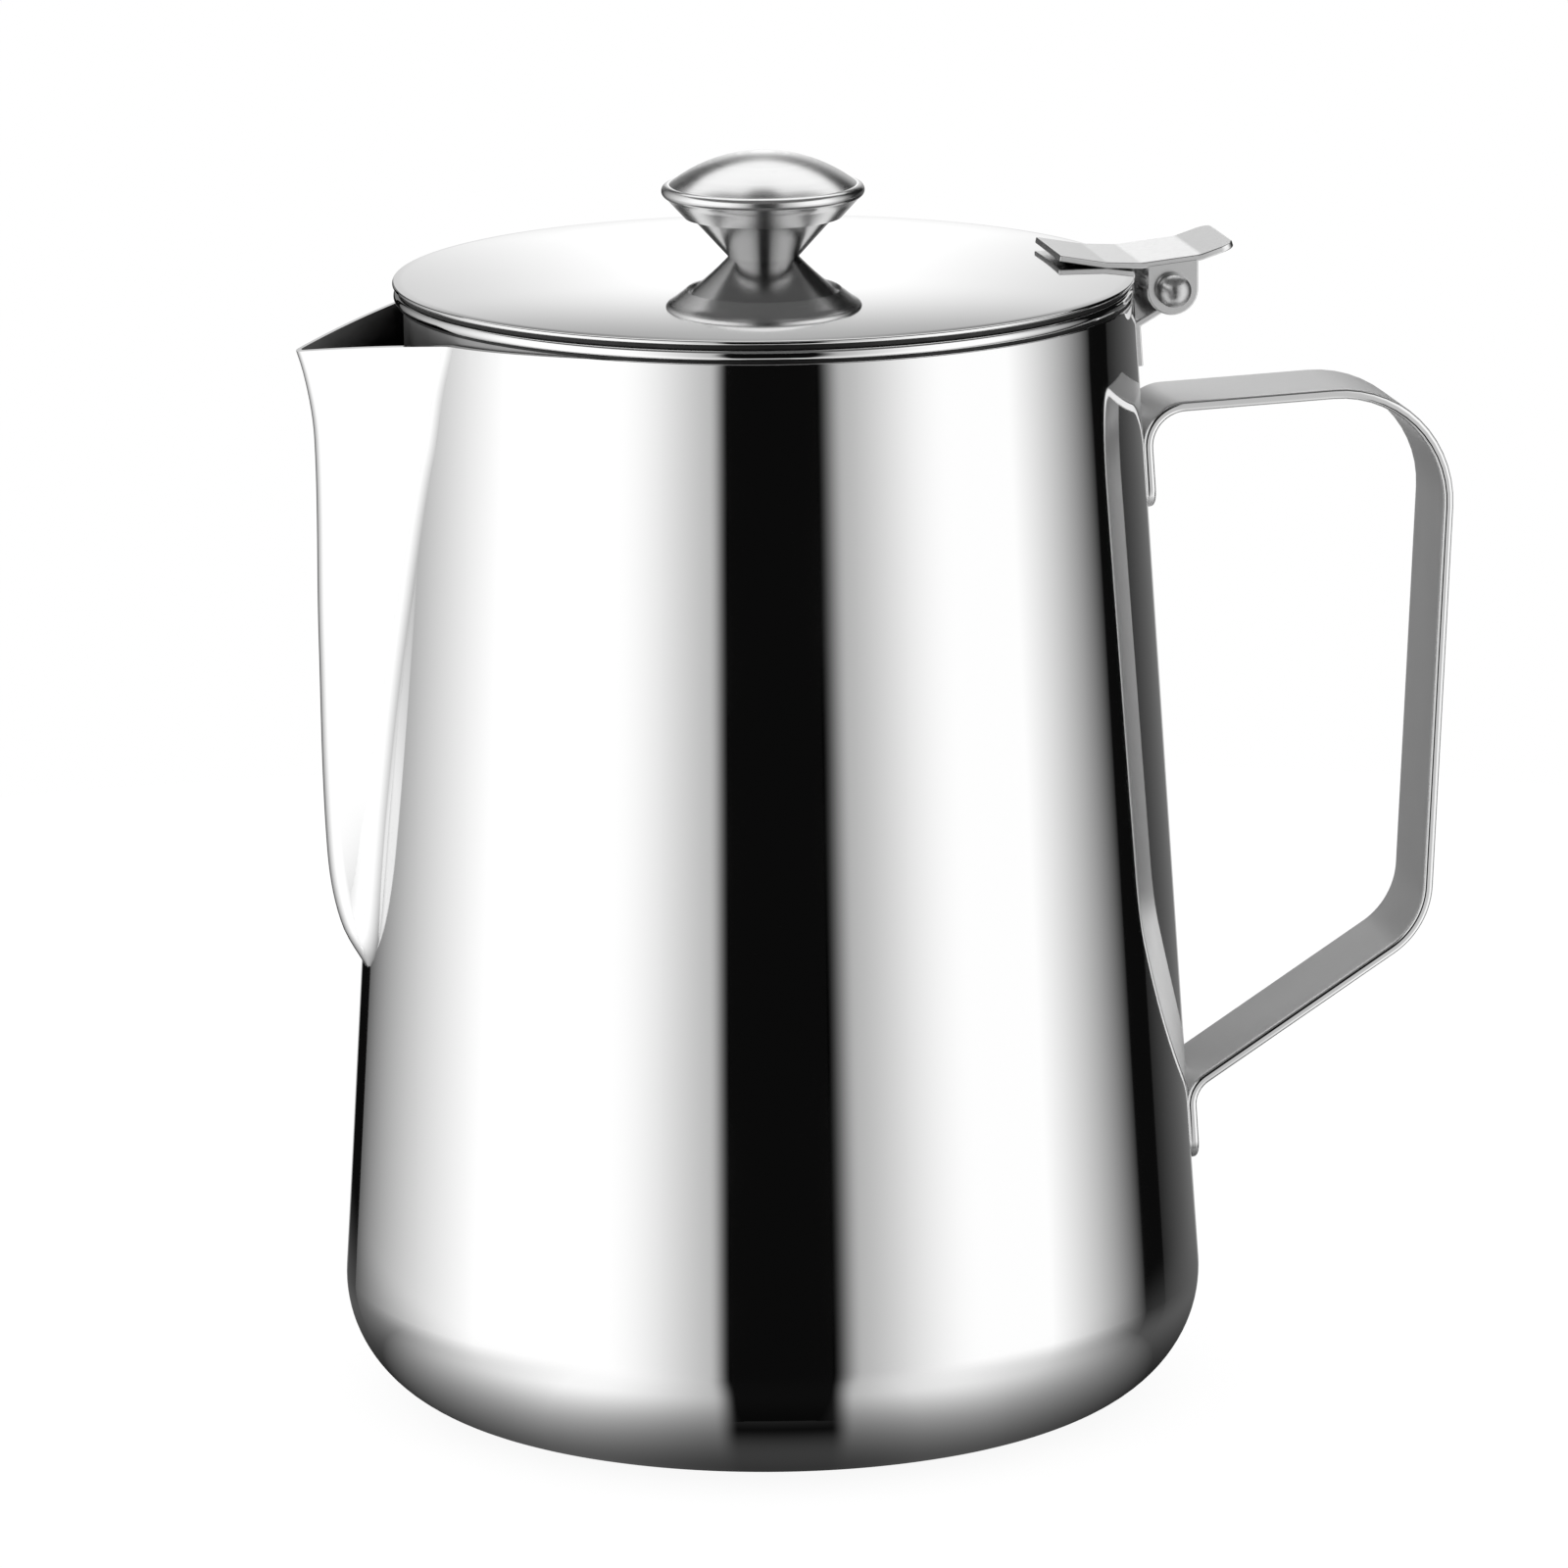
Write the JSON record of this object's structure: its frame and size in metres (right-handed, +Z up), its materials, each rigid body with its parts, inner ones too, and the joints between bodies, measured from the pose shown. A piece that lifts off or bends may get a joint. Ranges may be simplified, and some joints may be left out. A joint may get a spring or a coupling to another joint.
{
  "type": "lidded milk jug",
  "caption": "Tapered polished-steel jug with a welded V spout, a bent strap handle and a domed lid with a knob, which swings on a rear hinge by a thumb lever.",
  "frame": {"origin": "middle of the flat base, on the surface that the jug stands on", "axes": "+Z up along the jug's axis, +X towards the handle and the hinge, -X towards the spout"},
  "size_m": [0.1615, 0.1198, 0.1754],
  "materials": {
    "mirror_steel": "mirror-polished stainless steel",
    "strap_steel": "bright-polished stainless strap, with soft reflections",
    "hinge_steel": "polished stainless sheet and rivet",
    "fastener_steel": "plain stainless fasteners"
  },
  "bodies": {
    "jug": {"body_shell": "mirror_steel", "spout": "mirror_steel", "handle": "strap_steel", "hinge_bracket": "hinge_steel"},
    "lid": {"lid": "mirror_steel", "thumb_lever": "hinge_steel", "hinge_pin": "hinge_steel", "knob_cap": "mirror_steel", "knob_cone": "mirror_steel", "knob_nut": "fastener_steel", "knob_screw": "fastener_steel", "knob_washer": "fastener_steel"}
  },
  "joints": [
    {"name": "lid_hinge", "type": "hinge", "parent": "jug", "child": "lid", "pos_m": [0.056, 0, 0.1552], "axis": [0, 1, 0], "range_deg": [0, 140]}
  ]
}
